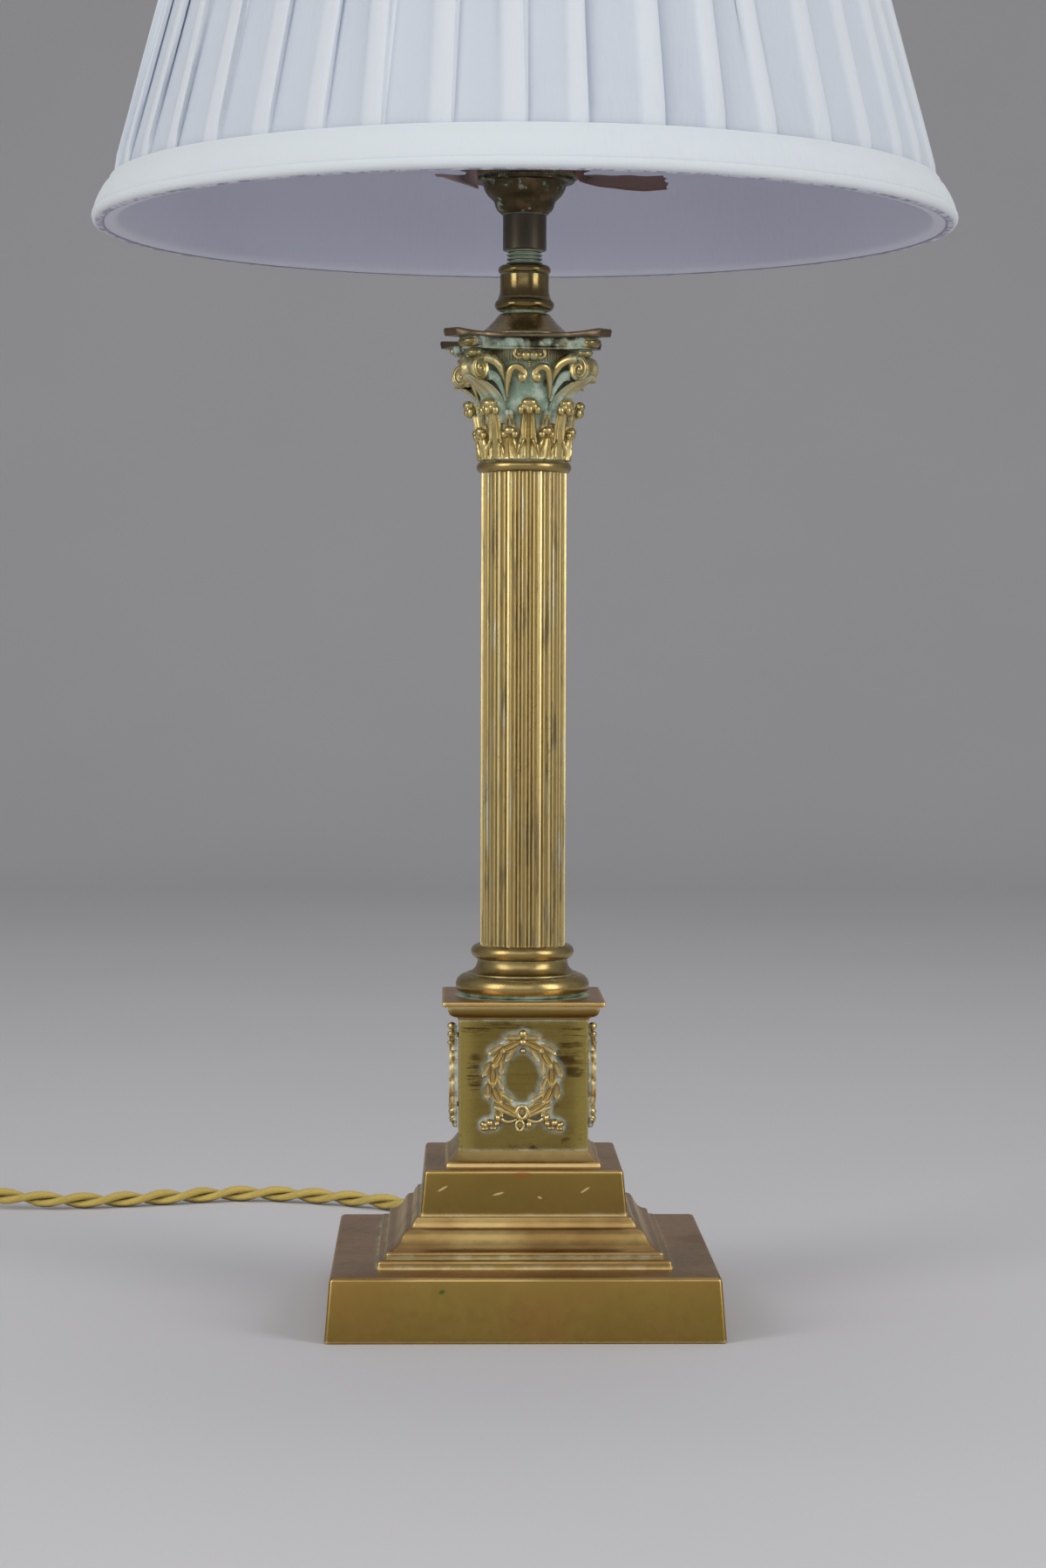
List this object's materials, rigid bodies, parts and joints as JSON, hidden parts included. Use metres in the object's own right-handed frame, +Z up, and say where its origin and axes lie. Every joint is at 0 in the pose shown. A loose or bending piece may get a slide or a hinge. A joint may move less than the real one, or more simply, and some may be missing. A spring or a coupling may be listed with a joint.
{
  "type": "table lamp",
  "caption": "Column table lamp: stepped square base, wreathed pedestal, fluted column with a leafed capital, lampholder, pleated tapering shade, and a flex with a switch and a plug.",
  "frame": {"origin": "middle of the base's underside, on the floor", "axes": "+Z up along the column, the front looks along -Y, the flex leaves at the back on +Y and lies towards -X"},
  "size_m": [0.5367, 0.3939, 0.5865],
  "materials": {
    "old_brass": "aged polished brass with brown and green patina",
    "dark_bronze": "dark patinated brass",
    "steel": "plain steel",
    "white_wire": "white coated wire",
    "shade_fabric": "pleated pale fabric",
    "lining_fabric": "smooth pale lining",
    "trim_fabric": "pale fabric band",
    "packing_fabric": "thin brown cloth",
    "gold_flex": "gold twisted flex",
    "white_plastic": "plain moulded plastic",
    "gold_plastic": "gold coloured plastic",
    "bulb_glass": "clear glass",
    "spring_steel": "spring wire"
  },
  "bodies": {
    "lamp": {"base_plinth": "old_brass", "base_ogee_tier": "old_brass", "base_upper_block": "old_brass", "pedestal_foot": "old_brass", "pedestal_die": "old_brass", "wreath_front": "old_brass", "wreath_right": "old_brass", "wreath_back": "old_brass", "wreath_left": "old_brass", "wreath_pins": "old_brass", "pedestal_cornice": "old_brass", "pedestal_cap_plate": "old_brass", "column_base": "old_brass", "column_shaft": "old_brass", "neck_ring": "old_brass", "capital": "old_brass", "top_trumpet": "old_brass", "top_collar": "old_brass", "terminals": "old_brass", "abacus_plate": "dark_bronze", "holder_nipple": "dark_bronze", "holder_sleeve": "dark_bronze", "holder_dome": "dark_bronze", "shade_ring_lower": "dark_bronze", "holder_shell": "dark_bronze", "base_screws": "steel", "tie_rod": "steel", "clamp_washer": "steel", "clamp_nut": "steel", "switch_pivot": "steel", "packing_cloth": "packing_fabric", "insulator_block": "white_plastic", "plunger_springs": "spring_steel", "inner_flex": "gold_flex", "cord_run": "gold_flex", "cord_lead": "gold_flex", "cord_coil": "gold_flex", "cord_tail": "gold_flex", "cord_gland": "gold_plastic", "gland_nut": "gold_plastic", "switch_base": "gold_plastic", "switch_cover": "gold_plastic", "cord_clip": "white_plastic", "plug_base": "white_plastic", "plug_cover": "white_plastic", "plug_pins": "old_brass"},
    "shade": {"shade_fitter_ring": "white_wire", "shade_arms": "white_wire", "shade_bottom_ring": "white_wire", "shade_top_ring": "white_wire", "shade_struts": "white_wire", "shade_lining": "lining_fabric", "shade_cover": "shade_fabric", "shade_bottom_trim": "trim_fabric", "shade_top_trim": "trim_fabric"},
    "ring_washer": {"slip_washer": "dark_bronze"},
    "ring": {"shade_ring_upper": "dark_bronze"},
    "plungers": {"contact_plungers": "old_brass"},
    "bulb": {"bulb_cap": "old_brass", "bulb_glass": "bulb_glass"},
    "rocker": {"switch_rocker": "white_plastic"}
  },
  "joints": [
    {"name": "shade_turn", "type": "hinge", "parent": "lamp", "child": "shade", "pos_m": [0, 0, 0.41], "axis": [0, 0, 1], "continuous": true},
    {"name": "ring_rise", "type": "slide", "parent": "lamp", "child": "ring_washer", "axis": [0, 0, 1], "range_m": [0, 0.006]},
    {"name": "ring_turn", "type": "hinge", "parent": "ring_washer", "child": "ring", "pos_m": [0, 0, 0.411], "axis": [0, 0, 1], "range_deg": [0, 1439]},
    {"name": "bulb_push", "type": "slide", "parent": "lamp", "child": "plungers", "axis": [0, 0, 1], "range_m": [-0.0025, 0], "stiffness_N_per_m": 2000, "springref_m": 0.003, "deforming": ["plunger_springs"]},
    {"name": "bulb_turn", "type": "hinge", "parent": "plungers", "child": "bulb", "pos_m": [0, 0, 0.42], "axis": [0, 0, 1], "range_deg": [0, 15]},
    {"name": "rocker_tilt", "type": "hinge", "parent": "lamp", "child": "rocker", "pos_m": [-0.277, 0.219, 0.0122], "axis": [0, 1, 0], "range_deg": [-14, 0]}
  ],
  "couplings": [
    {"joint": "ring_rise", "follows": "ring_turn", "m_per_rad": 0.00023873}
  ]
}
